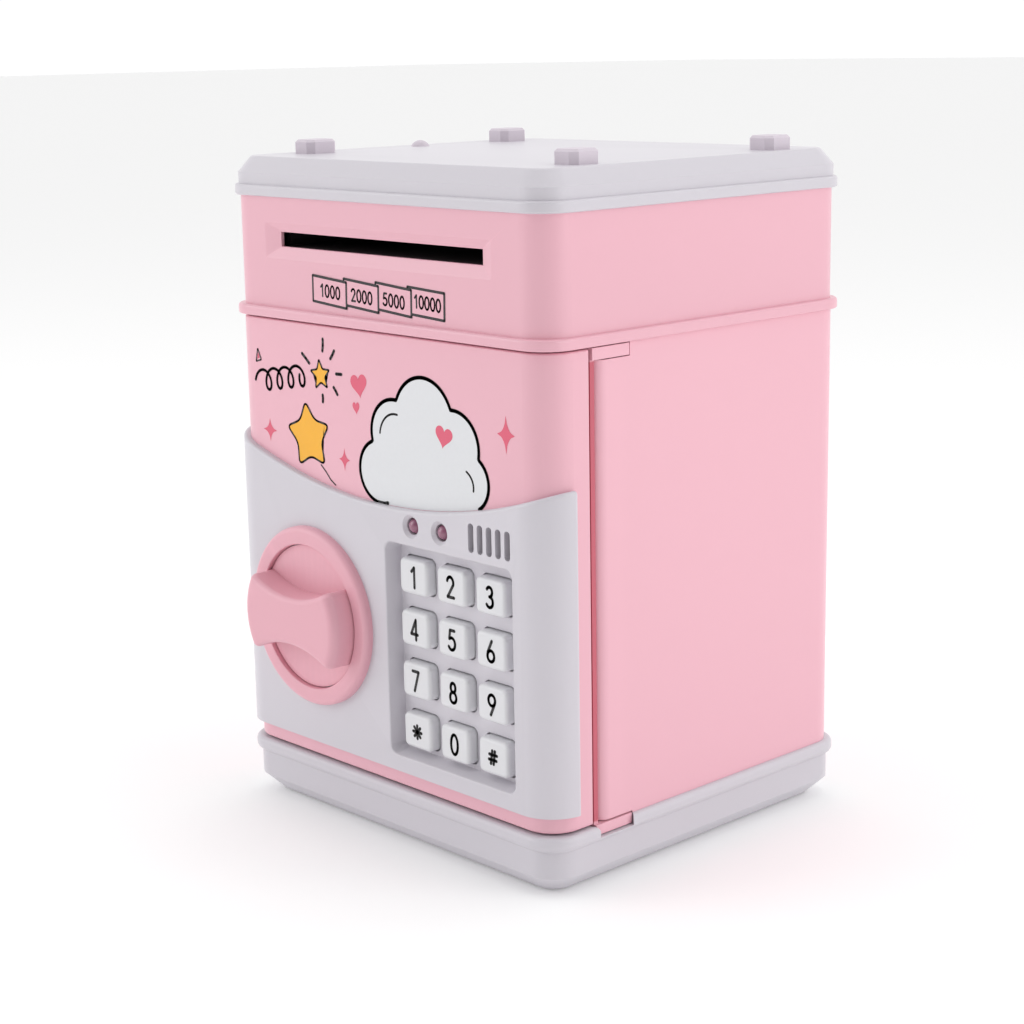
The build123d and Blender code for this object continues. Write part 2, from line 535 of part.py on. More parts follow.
panel -= rod_y(kx, kz, shaft_r + 0.06, -70, -50)
for x in led_x:
    panel -= rod_y(x, led_z, led_r + 0.25, -70, -50)
    panel -= Pos(x, py + 0.45, led_z) * (Rot(90, 0, 0) * Cone(led_r + 0.25, led_r + 1.15, 0.92))
for i in range(vent_n):
    x = vent_x0 + i * vent_pitch
    panel -= front(Pos(x, vent_z) * RectangleRounded(vent_w, vent_l, vent_w * 0.48), -75, -50)
save("door_panel", panel)

# ---------------------------------------------------------------- keys
for n, (x, z) in key_pos.items():
    cap = front(Pos(x, z) * RectangleRounded(key_w, key_h, 1.7), key_face_y, floor_y + 1.5)
    top = [e for e in cap.edges() if abs(e.center().Y - key_face_y) < 0.01]
    cap = soften(cap, top, (1.1, 0.8, 0.5))
    cap += front(Pos(x, z) * RectangleRounded(key_w + 1.8, key_h + 1.8, 1.9), floor_y + 1.5, floor_y + 2.3)
    cap += rod_y(x, z, 1.6, floor_y + 2.2, floor_y + 2.55)
    save("key_" + n, cap)

# rubber contact sheet behind the keys
mem_y0 = floor_y + 2.55 + key_travel + 0.3
sheet = front(Pos(kcx, kcz) * RectangleRounded(kw - 2.0, kh - 2.0, 2.0), mem_y0 + 0.5, mem_y0 + 1.2)
for n, (x, z) in key_pos.items():
    sheet += rod_y(x, z, 3.4, mem_y0 + 0.25, mem_y0 + 0.6)
    sheet += rod_y(x, z, 1.9, mem_y0, mem_y0 + 0.4)
save("keypad_membrane", sheet)

brd_y0 = mem_y0 + 1.2
pcb = block(kp_x0 + 0.4, kp_x1 - 0.4, brd_y0, brd_y0 + 1.5, kp_z0 + 0.4, kp_z1 + 0.9)
pcb += block(kp_x0 + 4, 32.0, brd_y0, brd_y0 + 1.5, kp_z1 + 0.5, 97.5)
pcb += block(18, 30, brd_y0 + 1.5, brd_y0 + 3.1, 50, 62)
pcb += block(36, 44, brd_y0 + 1.5, brd_y0 + 4.0, 74, 82)
pcb += block(10, 15, brd_y0 + 1.5, brd_y0 + 2.6, 36, 44)
for i in range(5):
    pcb += block(34 + i * 3, 35.6 + i * 3, brd_y0 + 1.5, brd_y0 + 2.3, 40, 41.4)
save("door_board", pcb)

# lamps: domed lens with a flange resting against the board
for tag, x in zip(("left", "right"), led_x):
    lamp = rod_y(x, led_z, led_r, py + 2.3, brd_y0)
    lamp += Pos(x, py + 2.3, led_z) * Sphere(led_r)
    lamp += rod_y(x, led_z, led_r + 0.5, brd_y0 - 1.0, brd_y0)
    save("lamp_" + tag, lamp)

# loudspeaker behind the vents
spk_z = 101.0
spk = rod_y(vent_c, spk_z, 10.5, -low_hy + wall, -low_hy + wall + 1.6)
spk = spk - (rod_y(vent_c, spk_z, 8.9, -60, -low_hy + wall + 0.9))
spk += Pos(vent_c, -low_hy + wall + 2.9, spk_z) * (Rot(90, 0, 0) * Cone(6.0, 9.4, 2.8))
spk += rod_y(vent_c, spk_z, 6.0, -low_hy + wall + 4.0, -low_hy + wall + 7.0)
spk += Pos(vent_c, -low_hy + wall + 1.5, spk_z) * (Sphere(3.2) & block(-10, 10, -1.4, 1.0, -10, 10))
save("speaker", spk)

# ---------------------------------------------------------------- door inner cover with hinge ears
cov = block(-62.0, 64.0, cover_y0, cover_y1, cover_z0, cover_z1)
cov = soften(cov, cov.edges().filter_by(Axis.Y), (1.5,))
lipf = block(-62.0, 62.0, -46.0, cover_y0 + 0.2, door_z0 + 2.3, door_z1 - 2.3) - block(-60.4, 60.4, -50, -40, door_z0 + 3.9, door_z1 - 3.9)
for x, z in door_screw_xz:
    lipf -= rod_y(x, z, 3.5, -50, -40)
cov += lipf


def ear(z0, z1):
    e = rod_z(hx, hy, ear_r, z0, z1) & block(40, ear_x, cover_y0, -20, z0, z1)
    return e


def neck(z0, z1):
    return block(hx - 5.6, 64.0, cover_y0, hy, z0, z1) & rod_z(hx, hy, ear_r, z0, z1)


cov += ear(ear_top0, ear_top1) + ear(ear_bot0, ear_bot1)
cov += neck(ear_top0, ear_top1) + neck(ear_bot0, ear_bot1)
# web that joins the lower ear to the plate
cov += (block(hx - 5.0, 64.0, cover_y0, cover_y1, ear_bot0, cover_z0 + 2.5) & rod_z(hx, hy, ear_r, ear_bot0, cover_z0 + 3))
cov -= rod_z(hx, hy, pin_r + 0.06, 0, 30)
cov -= rod_z(hx, hy, pin_r + 0.06, 135, 160)
cov -= rod_y(kx, kz, shaft_r + 0.06, -50, -30)
for x, z in door_screw_xz:
    cov -= rod_y(x, z, 1.5, -50, -30)
    cov -= Pos(x, cover_y1 - 0.55, z) * (Rot(90, 0, 0) * Cone(2.9, 1.7, 1.12))
# raised panel on the inside face
cov -= block(-10, 48, cover_y1 - 0.5, cover_y1 + 1, 100, 136) - block(-9, 47, cover_y1 - 1, cover_y1 + 2, 101, 135)
save("door_inner_cover", cov)

door_screws = []
for x, z in door_screw_xz:
    s = Pos(0, 0, 0) * Cone(2.7, 1.2, 1.0)
    s = Pos(0, 0, 0.5) * s + Pos(0, 0, 4.5) * Cylinder(1.2, 8.0) + Pos(0, 0, 9.0) * Cone(1.2, 0.3, 1.0)
    s -= Pos(0, 0, 0.2) * (Box(3.0, 0.5, 0.8) + Box(0.5, 3.0, 0.8))
    door_screws.append(Pos(x, cover_y1 - 0.05, z) * (Rot(90, 0, 0) * s))
save("door_screws", Compound(children=door_screws))

# ---------------------------------------------------------------- knob group
ring = rod_y(kx, kz, ring_ro, py - ring_h, py)
ring_front = [e for e in ring.edges() if abs(e.center().Y - (py - ring_h)) < 0.01]
ring = soften(ring, ring_front, (1.6, 1.0))
ring -= rod_y(kx, kz, ring_ri, -80, -50)
ring_in = [e for e in ring.edges() if abs(e.center().Y - (py - ring_h)) < 0.3 and e.length < 2 * math.pi * ring_ri + 3]
ring = soften(ring, ring_in, (0.4, 0.25))
save("knob_ring", ring)

knob = rod_y(kx, kz, knob_r, knob_front_y, py - 0.3)
kn_front = [e for e in knob.edges() if abs(e.center().Y - knob_front_y) < 0.01]
knob = soften(knob, kn_front, (2.6, 2.0, 1.2))
for s in (-1, 1):
    scoop = rod_y(kx, kz + s * (waist + scoop_r), scoop_r, knob_front_y - 1, knob_disc_y)
    knob -= scoop
edge_sel = [e for e in knob.edges() if e.center().Y < knob_front_y + 1.2 and abs(e.center().Z - kz) < 16 and e.length > 25]
knob = soften(knob, edge_sel, (1.6, 1.2, 0.7, 0.4))
knob += rod_y(kx, kz, shaft_r, py - 0.5, -57.0)
save("knob", knob)

disc_y0, disc_y1 = -52.6, -49.6
lsh = rod_y(kx, kz, shaft_r, -57.0, -41.3)
lock = rod_y(kx, kz, 11.4, disc_y0, disc_y1)
lock -= block(kx - 2.4, kx + 2.4, -60, -40, kz + 8.8, kz + 14)
lock -= block(kx + 8.8, kx + 14, -60, -40, kz - 2.4, kz + 2.4)
lsh += lock
lsh -= rod_y(kx, kz, 1.4, -47.0, -41.0)
save("latch_shaft", lsh)

# latch arm stands up when the door is free and swings to the left wall to lock
arm_l = 27.6
cam = rod_y(kx, kz, 7.0, -41.3, -36.9)
arm = front(Pos(kx, kz + arm_l / 2) * RectangleRounded(9.0, arm_l + 8.9, 4.4), -39.1, -36.9)
cam += arm
cam -= rod_y(kx, kz, 1.4, -45, -30)
save("latch_arm", cam)
save("latch_screw", Pos(kx, -36.9, kz) * (Rot(90, 0, 0) * screw(2.6, 1.3, 1.35, 8.0)))

# solenoid that blocks the latch
sol_z0, sol_z1 = kz + 22.5, kz + 40.5
sol = block(kx - 6.0, kx + 6.0, -56.0, -46.2, sol_z0, sol_z1)
sol = soften(sol, sol.edges().filter_by(Axis.Z), (0.8,))
sol_y = (disc_y0 + disc_y1) / 2
sol += rod_z(kx, sol_y, 3.4, sol_z0 - 0.8, sol_z0)
sol -= rod_z(kx, sol_y, 2.06, sol_z0 - 2, sol_z1 - 1.0)
sol += block(kx - 9, kx + 9, -56.4, -55.4, sol_z0 + 2, sol_z1 - 2)
save("solenoid", sol)
plunger = rod_z(kx, sol_y, 2.0, kz + 12.6, sol_z1 - 2.6)
plunger = bevel(plunger, plunger.edges().group_by(Axis.Z)[0], (0.4,))
plunger += rod_z(kx, sol_y, 3.5, kz + 14.6, kz + 15.6)
save("solenoid_plunger", plunger)
sp_z0, sp_z1 = kz + 15.6, sol_z0 - 0.8
coil = Helix(pitch=(sp_z1 - sp_z0 - 0.6) / 4, height=sp_z1 - sp_z0 - 0.6, radius=2.75)
coil_wire = sweep(Plane(origin=coil @ 0, z_dir=coil % 0) * Circle(0.28), path=coil)
save("plunger_spring", Pos(kx, sol_y, sp_z0 + 0.3) * coil_wire)
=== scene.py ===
import bpy, bmesh, json, math, random
from mathutils import Vector, Matrix


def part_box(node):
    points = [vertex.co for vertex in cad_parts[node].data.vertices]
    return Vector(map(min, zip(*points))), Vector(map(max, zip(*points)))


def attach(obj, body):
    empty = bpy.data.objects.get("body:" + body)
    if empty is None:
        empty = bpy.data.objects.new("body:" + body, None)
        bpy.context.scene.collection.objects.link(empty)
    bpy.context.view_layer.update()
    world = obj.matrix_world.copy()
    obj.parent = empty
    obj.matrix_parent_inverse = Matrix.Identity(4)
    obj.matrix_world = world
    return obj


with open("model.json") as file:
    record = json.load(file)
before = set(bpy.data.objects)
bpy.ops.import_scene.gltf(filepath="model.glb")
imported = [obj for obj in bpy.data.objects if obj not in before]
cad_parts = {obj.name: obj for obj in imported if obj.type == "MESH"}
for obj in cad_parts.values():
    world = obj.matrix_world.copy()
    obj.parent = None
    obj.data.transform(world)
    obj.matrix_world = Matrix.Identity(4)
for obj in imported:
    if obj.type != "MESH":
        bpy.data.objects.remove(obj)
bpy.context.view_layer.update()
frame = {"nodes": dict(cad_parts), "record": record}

N = frame["nodes"]
random.seed(7)


def srgb(r, g, b):
    def f(c):
        c = c / 255.0
        return c / 12.92 if c <= 0.04045 else ((c + 0.055) / 1.055) ** 2.4
    return (f(r), f(g), f(b), 1.0)


# ------------------------------------------------------------------ materials
def material(name, col, rough=0.35, grain=0.02, grain_scale=900.0, bump=0.03, bump_scale=1400.0,
             mottle=0.03, mottle_scale=35.0, rough_var=0.05, edge=0.10, coat=0.0, metallic=0.0,
             sss=0.0, spec=0.5, emit=0.0, stretch=None, coat_rough=0.15, trans=0.0):
    m = bpy.data.materials.new(name)
    m.use_nodes = True
    nt = m.node_tree
    nt.nodes.clear()
    out = nt.nodes.new("ShaderNodeOutputMaterial")
    b = nt.nodes.new("ShaderNodeBsdfPrincipled")
    nt.links.new(b.outputs[0], out.inputs[0])
    geo = nt.nodes.new("ShaderNodeNewGeometry")
    tc = nt.nodes.new("ShaderNodeTexCoord")
    src = tc.outputs["Object"]
    if stretch:
        mp = nt.nodes.new("ShaderNodeMapping")
        mp.inputs["Scale"].default_value = stretch
        nt.links.new(src, mp.inputs["Vector"])
        src = mp.outputs[0]
    n1 = nt.nodes.new("ShaderNodeTexNoise")
    n1.inputs["Scale"].default_value = mottle_scale
    n1.inputs["Detail"].default_value = 4.0
    nt.links.new(tc.outputs["Object"], n1.inputs["Vector"])
    n2 = nt.nodes.new("ShaderNodeTexNoise")
    n2.inputs["Scale"].default_value = grain_scale
    n2.inputs["Detail"].default_value = 3.0
    nt.links.new(src, n2.inputs["Vector"])
    # base colour: slow mottle and fine grain
    add = nt.nodes.new("ShaderNodeMath"); add.operation = "MULTIPLY_ADD"
    nt.links.new(n1.outputs[0], add.inputs[0])
    add.inputs[1].default_value = mottle * 2
    add.inputs[2].default_value = 1.0 - mottle
    add2 = nt.nodes.new("ShaderNodeMath"); add2.operation = "MULTIPLY_ADD"
    nt.links.new(n2.outputs[0], add2.inputs[0])
    add2.inputs[1].default_value = grain * 2
    nt.links.new(add.outputs[0], add2.inputs[2])
    sub = nt.nodes.new("ShaderNodeMath"); sub.operation = "SUBTRACT"
    nt.links.new(add2.outputs[0], sub.inputs[0])
    sub.inputs[1].default_value = grain
    # soft light wear on edges from pointiness
    ramp = nt.nodes.new("ShaderNodeMapRange")
    ramp.inputs[1].default_value = 0.50
    ramp.inputs[2].default_value = 0.60
    ramp.inputs[3].default_value = 0.0
    ramp.inputs[4].default_value = edge
    nt.links.new(geo.outputs["Pointiness"], ramp.inputs[0])
    mul = nt.nodes.new("ShaderNodeMath"); mul.operation = "ADD"
    nt.links.new(sub.outputs[0], mul.inputs[0])
    nt.links.new(ramp.outputs[0], mul.inputs[1])
    mix = nt.nodes.new("ShaderNodeMix"); mix.data_type = "RGBA"; mix.blend_type = "MULTIPLY"
    mix.inputs["Factor"].default_value = 1.0
    mix.inputs["A"].default_value = col
    comb = nt.nodes.new("ShaderNodeCombineColor")
    for i in range(3):
        nt.links.new(mul.outputs[0], comb.inputs[i])
    nt.links.new(comb.outputs[0], mix.inputs["B"])
    nt.links.new(mix.outputs["Result"], b.inputs["Base Color"])
    # roughness variation
    rr = nt.nodes.new("ShaderNodeMapRange")
    rr.inputs[3].default_value = max(0.02, rough - rough_var)
    rr.inputs[4].default_value = min(1.0, rough + rough_var)
    nt.links.new(n1.outputs[0], rr.inputs[0])
    nt.links.new(rr.outputs[0], b.inputs["Roughness"])
    # fine moulded grain
    n3 = nt.nodes.new("ShaderNodeTexNoise")
    n3.inputs["Scale"].default_value = bump_scale
    n3.inputs["Detail"].default_value = 2.0
    nt.links.new(src, n3.inputs["Vector"])
    bp = nt.nodes.new("ShaderNodeBump")
    bp.inputs["Strength"].default_value = bump
    bp.inputs["Distance"].default_value = 0.0001
    nt.links.new(n3.outputs[0], bp.inputs["Height"])
    nt.links.new(bp.outputs[0], b.inputs["Normal"])
    b.inputs["Metallic"].default_value = metallic
    b.inputs["Specular IOR Level"].default_value = spec
    b.inputs["Coat Weight"].default_value = coat
    b.inputs["Coat Roughness"].default_value = coat_rough
    b.inputs["Subsurface Weight"].default_value = sss
    b.inputs["Subsurface Radius"].default_value = (0.004, 0.002, 0.002)
    b.inputs["Subsurface Scale"].default_value = 1.0
    b.inputs["Transmission Weight"].default_value = trans
    return m


M = {}
PINK = srgb(231, 177, 190)
M["pink_abs"] = material("pink_abs", PINK, rough=0.30, mottle=0.004, rough_var=0.012, grain=0.006, bump=0.05, edge=0.05)
M["pink_abs_knob"] = material("pink_abs_knob", srgb(229, 171, 184), rough=0.36, mottle=0.006, rough_var=0.015, grain=0.01, bump=0.06, edge=0.06)
M["white_abs"] = material("white_abs", srgb(206, 202, 209), rough=0.34, mottle=0.005, rough_var=0.015, grain=0.008, bump=0.05, edge=0.05)
M["key_abs"] = material("key_abs", srgb(222, 222, 225), rough=0.30, mottle=0.005, rough_var=0.015, grain=0.008, bump=0.04, edge=0.04)
M["pad_abs"] = material("pad_abs", srgb(206, 196, 206), rough=0.45, mottle=0.02, bump=0.08, edge=0.06)
M["rubber_grey"] = material("rubber_grey", srgb(86, 86, 90), rough=0.85, mottle=0.08, bump=0.4, edge=0.15)
M["rubber_black"] = material("rubber_black", srgb(38, 38, 40), rough=0.8, mottle=0.1, bump=0.4, edge=0.2)
M["silicone"] = material("silicone", srgb(205, 200, 196), rough=0.6, mottle=0.05, bump=0.15)
M["steel"] = material("steel", srgb(176, 178, 182), rough=0.28, metallic=1.0, mottle=0.05, bump=0.12, stretch=(1, 18, 18), grain=0.05)
M["zinc_steel"] = material("zinc_steel", srgb(190, 192, 196), rough=0.34, metallic=1.0, mottle=0.08, bump=0.15, grain=0.06)
M["spring_steel"] = material("spring_steel", srgb(200, 200, 204), rough=0.2, metallic=1.0, mottle=0.04, bump=0.05)
M["pcb"] = material("pcb", srgb(28, 110, 62), rough=0.38, mottle=0.10, mottle_scale=180, bump=0.25, bump_scale=500, coat=0.3)
M["lamp_lens"] = material("lamp_lens", srgb(142, 84, 110), rough=0.16, mottle=0.10, mottle_scale=400, bump=0.05, coat=0.6, spec=0.6)
M["pom_white"] = material("pom_white", srgb(228, 226, 218), rough=0.42, mottle=0.03, bump=0.1)
M["pom_black"] = material("pom_black", srgb(44, 44, 47), rough=0.4, mottle=0.06, bump=0.1)
M["cell_wrap"] = material("cell_wrap", srgb(52, 104, 70), rough=0.25, mottle=0.06, bump=0.05, coat=0.5)
M["speaker_black"] = material("speaker_black", srgb(40, 38, 40), rough=0.75, mottle=0.1, bump=0.5, bump_scale=700)
M["solenoid_mix"] = material("solenoid_mix", srgb(168, 120, 70), rough=0.4, metallic=0.6, mottle=0.1, bump=0.4, stretch=(1, 1, 30))
M["dark_abs"] = material("dark_abs", srgb(58, 50, 54), rough=0.5, mottle=0.06, bump=0.2)
INK = material("ink_black", srgb(24, 21, 24), rough=0.42, mottle=0.10, bump=0.1, edge=0.0)
ROSE = material("ink_rose", srgb(222, 92, 118), rough=0.36, mottle=0.05, bump=0.05, edge=0.0)
YELL = material("ink_yellow", srgb(246, 178, 38), rough=0.36, mottle=0.05, mottle_scale=120, bump=0.05, edge=0.0)
PAPER = material("ink_white", srgb(222, 223, 226), rough=0.34, mottle=0.012, bump=0.05, edge=0.0)
SEAM = material("seam_shadow", srgb(120, 70, 84), rough=0.8, mottle=0.05, bump=0.1, edge=0.0)

for rec in frame["record"]["subparts"]:
    o = N[rec["node"]]
    o.data.materials.clear()
    o.data.materials.append(M[rec["material_slot"]])


# painted shade: the recessed band beside the door is painted a deeper rose than the parts around it, standing in for
# the shadow and rose bounce light in that recess
painted_shade_band = M["pink_abs"].copy()
painted_shade_band.name = "pink_abs_painted_shade"
bt = painted_shade_band.node_tree
bsdf = next(n for n in bt.nodes if n.type == "BSDF_PRINCIPLED")
old = bsdf.inputs["Base Color"].links[0].from_socket
btc = bt.nodes.new("ShaderNodeTexCoord")
bs = bt.nodes.new("ShaderNodeSeparateXYZ")
bt.links.new(btc.outputs["Object"], bs.inputs[0])


def step(socket, a, b):
    r = bt.nodes.new("ShaderNodeMapRange")
    r.interpolation_type = "SMOOTHSTEP"
    r.inputs[1].default_value, r.inputs[2].default_value = a, b
    bt.links.new(socket, r.inputs[0])
    return r.outputs[0]


def times(a, b):
    m_ = bt.nodes.new("ShaderNodeMath")
    m_.operation = "MULTIPLY"
    bt.links.new(a, m_.inputs[0])
    bt.links.new(b, m_.inputs[1])
    return m_.outputs[0]


clo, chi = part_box("door_inner_cover")
# where the painted shade goes: the strip of the cover at x 61.2 to 62.0 mm, between z 17.6 and 140.6 mm
painted_shade_mask = times(step(bs.outputs[0], 0.0612, 0.0620), times(step(bs.outputs[2], 0.0176, 0.0186), step(bs.outputs[2], 0.1406, 0.1398)))
bm_ = bt.nodes.new("ShaderNodeMix")
bm_.data_type = "RGBA"
bt.links.new(painted_shade_mask, bm_.inputs["Factor"])
bt.links.new(old, bm_.inputs["A"])
# deep rose of the painted shade
bm_.inputs["B"].default_value = srgb(196, 92, 108)
bt.links.new(bm_.outputs["Result"], bsdf.inputs["Base Color"])
N["door_inner_cover"].data.materials.clear()
N["door_inner_cover"].data.materials.append(painted_shade_band)

# ------------------------------------------------------------------ helpers for printed marks
def poly_mesh(name, loops, mat, body):
    """flat polygons in the plane X-Z at a given y: loops = [(points(x,z), y)]"""
    me = bpy.data.meshes.new(name)
    bm = bmesh.new()
    for pts, y in loops:
        vs = [bm.verts.new((x, y(x, z) if callable(y) else y, z)) for x, z in pts]
        f = bm.faces.new(vs)
    bmesh.ops.triangulate(bm, faces=bm.faces[:])
    bm.normal_update()
    bm.to_mesh(me)
    bm.free()
    o = bpy.data.objects.new(name, me)
    bpy.context.scene.collection.objects.link(o)
    me.materials.append(mat)
    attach(o, body)
    return o


def ribbon(path, w, closed=False, cap=6):
    """outline pieces of a stroke: quads per segment and a disc at each point"""
    out = []
    n = len(path)
    segs = [(path[i], path[(i + 1) % n]) for i in range(n if closed else n - 1)]
    for (x0, z0), (x1, z1) in segs:
        d = math.hypot(x1 - x0, z1 - z0)
        if d < 1e-9:
            continue
        nx, nz = -(z1 - z0) / d * w / 2, (x1 - x0) / d * w / 2
        out.append([(x0 + nx, z0 + nz), (x0 - nx, z0 - nz), (x1 - nx, z1 - nz), (x1 + nx, z1 + nz)])
    for (x, z) in path:
        out.append([(x + math.cos(a) * w / 2, z + math.sin(a) * w / 2) for a in [2 * math.pi * k / (2 * cap) for k in range(2 * cap)]])
    return out


def arc(cx, cz, rx, rz, a0, a1, n=14):
    return [(cx + rx * math.cos(math.radians(a0 + (a1 - a0) * i / n)), cz + rz * math.sin(math.radians(a0 + (a1 - a0) * i / n))) for i in range(n + 1)]


# strokes in a box one unit tall, origin at the lower left, widths about 0.55
GLYPH = {
    "0": [arc(0.28, 0.5, 0.24, 0.46, 0, 360, 28)],
    "1": [[(0.10, 0.76), (0.30, 0.96), (0.30, 0.03)]],
    "2": [arc(0.27, 0.70, 0.22, 0.26, 165, -20, 14) + [(0.07, 0.04), (0.52, 0.04)]],
    "3": [arc(0.26, 0.735, 0.19, 0.215, 150, -90, 14) + arc(0.26, 0.28, 0.23, 0.24, 90, -150, 16)],
    "4": [[(0.50, 0.28), (0.03, 0.28), (0.38, 0.96), (0.38, 0.03)]],
    "5": [[(0.46, 0.95), (0.15, 0.95), (0.09, 0.55)] + arc(0.25, 0.33, 0.24, 0.28, 110, -150, 18)],
    "6": [[(0.36, 0.97), (0.08, 0.45)] + arc(0.28, 0.28, 0.23, 0.25, 150, -210, 24)],
    "7": [[(0.06, 0.95), (0.50, 0.95), (0.18, 0.03)]],
    "8": [arc(0.28, 0.73, 0.17, 0.215, 0, 360, 22), arc(0.28, 0.27, 0.22, 0.245, 0, 360, 24)],
    "9": [arc(0.28, 0.70, 0.23, 0.25, -30, 330, 24) + [(0.48, 0.58), (0.20, 0.03)]],
    "star": [[(0.28 + 0.33 * math.cos(math.radians(a)), 0.5 + 0.33 * math.sin(math.radians(a))), (0.28 - 0.33 * math.cos(math.radians(a)), 0.5 - 0.33 * math.sin(math.radians(a)))] for a in (90, 45, 0, 135)],
    "hash": [[(0.16, 0.18), (0.28, 0.84)], [(0.36, 0.18), (0.48, 0.84)], [(0.02, 0.38), (0.58, 0.38)], [(0.06, 0.64), (0.62, 0.64)]],
}


def glyph(ch, cx, cz, h, w, slim=1.0):
    out = []
    xs = [p[0] for s in GLYPH[ch] for p in s]
    mid = (min(xs) + max(xs)) / 2
    for s in GLYPH[ch]:
        path = [(cx + (x - mid) * h * slim, cz + (z - 0.5) * h) for x, z in s]
        out += ribbon(path, w)
    return out


mm = 0.001
# ------------------------------------------------------------------ key numerals
for name in ["0", "1", "2", "3", "4", "5", "6", "7", "8", "9", "star", "hash"]:
    node = "key_" + name
    blo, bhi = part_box(node)
    cx, cz = (blo.x + bhi.x) / 2, (blo.z + bhi.z) / 2
    h = 6.0 * mm if name not in ("star", "hash") else 5.6 * mm
    loops = [(p, blo.y - 0.00004) for p in glyph(name, cx, cz, h, 0.90 * mm, 0.92)]
    poly_mesh("numeral_" + name, loops, INK, "button_" + name)

# ------------------------------------------------------------------ value boxes on the upper body
ulo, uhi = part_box("upper_body")
SY = (70.4 - 60.27) / 2
yu = (-58.51 + SY) * mm - 0.00004
S = 1.0177
boxes = [(-26.21, 154.40), (-13.08, 154.33), (-0.02, 154.27), (12.69, 154.05)]
vals = ["1000", "2000", "5000", "10000"]
centres = [(-19.1, 150.45), (-5.8, 150.10), (7.1, 149.95), (20.15, 150.30)]
loops_ink, loops_face = [], []
for i, (x, z) in enumerate(boxes):
    drop = 1.0 if i < 3 else 0.7
    rect = [(x, z), (x + 14.15, z - drop), (x + 14.0, z - drop - 6.95), (x - 0.12, z - 6.9)]
    rect = [(a * S * mm, b * S * mm) for a, b in rect]
    y = yu - 0.00003 * (4 - i)
    loops_face.append((rect, y))
    for p in ribbon(rect, 0.72 * mm, closed=True, cap=4):
        loops_ink.append((p, y - 0.000012))
    txt = vals[i]
    hh = 3.5
    adv = 2.30 if len(txt) == 4 else 2.22
    for k, ch in enumerate(txt):
        ox = (k - (len(txt) - 1) / 2) * adv
        tx, tz = centres[i][0] * S + ox, centres[i][1] * S - ox * 0.055
        for p in glyph(ch, tx * mm, tz * mm, hh * mm, 0.60 * mm, 0.95):
            loops_ink.append((p, y - 0.000012))
poly_mesh("value_boxes_ground", loops_face, M["pink_abs"], "case")
poly_mesh("value_boxes_ink", loops_ink, INK, "case")

# ------------------------------------------------------------------ printed marks on the door
yd = (-58.66 + SY) * mm - 0.00004


def P(x, z):
    return (x * S * mm, z * S * mm)


def panel_top(x):
    return 97.0 + 0.0029 * (x - 2.0) ** 2


def star_points(cx, cz, ro, ri, rot=0.0, n=5, squash=1.0):
    pts = []
    for k in range(2 * n):
        r = ro if k % 2 == 0 else ri
        a = math.radians(90 + rot + 180.0 * k / n)
        pts.append((cx + r * squash * math.cos(a), cz + r * math.sin(a)))
    return pts


def rounded(pts, cut=0.3, steps=5):
    """round the corners of a closed polygon with quadratic curves"""
    out = []
    n = len(pts)
    for i in range(n):
        a, b, c = pts[i - 1], pts[i], pts[(i + 1) % n]
        p0 = (b[0] + (a[0] - b[0]) * cut, b[1] + (a[1] - b[1]) * cut)
        p2 = (b[0] + (c[0] - b[0]) * cut, b[1] + (c[1] - b[1]) * cut)
        for k in range(steps + 1):
            t = k / steps
            out.append(((1 - t) ** 2 * p0[0] + 2 * t * (1 - t) * b[0] + t * t * p2[0],
                        (1 - t) ** 2 * p0[1] + 2 * t * (1 - t) * b[1] + t * t * p2[1]))
    return out


def heart(cx, cz, w, h, tilt=0.0, n=40):
    pts = []
    for k in range(n):
        t = 2 * math.pi * k / n
        x = 16 * math.sin(t) ** 3 / 32.0 * w
        z = (13 * math.cos(t) - 5 * math.cos(2 * t) - 2 * math.cos(3 * t) - math.cos(4 * t) + 2.5) / 29.0 * h
        c, s_ = math.cos(math.radians(tilt)), math.sin(math.radians(tilt))
        pts.append((cx + x * c - z * s_, cz + x * s_ + z * c))
    return pts


def sparkle(cx, cz, w, h):
    pts = []
    for q in range(4):
        a0 = 90 * q
        for k in range(7):
            t = k / 7
            ang = math.radians(a0 + 90 * t)
            r = 1.0 / (abs(math.cos(ang)) ** 0.6 + abs(math.sin(ang)) ** 0.6) ** (1 / 0.6)
            pts.append((cx + w / 2 * r * math.cos(ang), cz + h / 2 * r * math.sin(ang)))
    return pts


def outline(pts, w, closed=True):
    return [(p, yd - 0.00004) for p in ribbon(pts, w * mm, closed=closed)]


ink, rose, yellow, paper = [], [], [], []
scale = lambda pts: [P(x, z) for x, z in pts]

# small star with six rays
rose_y = yd
yellow.append((scale(rounded(star_points(-24.5, 127.4, 4.3, 2.0, 6), 0.18)), yd))
ink += outline(scale(rounded(star_points(-24.5, 127.4, 4.3, 2.0, 6), 0.18)), 0.55)
for (x0, z0), (x1, z1) in [((-23.2, 134.1), (-22.9, 137.4)), ((-19.9, 132.3), (-18.2, 134.6)), ((-17.6, 128.4), (-15.4, 128.5)),
                           ((-18.9, 124.6), (-17.4, 122.8)), ((-23.8, 122.0), (-23.8, 120.1)), ((-29.2, 130.2), (-32.2, 132.6))]:
    ink += outline(scale([(x0, z0), ((x0 + x1) / 2 + 0.1, (z0 + z1) / 2), (x1, z1)]), 0.9, closed=False)
# big star
big = rounded(star_points(-30.5, 109.8, 9.7, 5.5, 7), 0.30, 6)
yellow.append((scale(big), yd))
ink += outline(scale(big), 0.62)
ink += outline(scale([(-25.6, 102.4), (-23.6, 100.8), (-21.6, 98.8), (-19.6, 97.6)]), 0.40, closed=False)
# doodle of loops, where the line of hand lettering was
loop = []
for k in range(120):
    t = k / 119
    a = 2 * math.pi * 4.0 * t
    loop.append((-51.6 + 20.2 * t + 2.3 * math.cos(a + math.pi), 123.2 + 3.4 * t + 2.9 * math.sin(a)))
ink += outline(scale(loop), 0.85, closed=False)
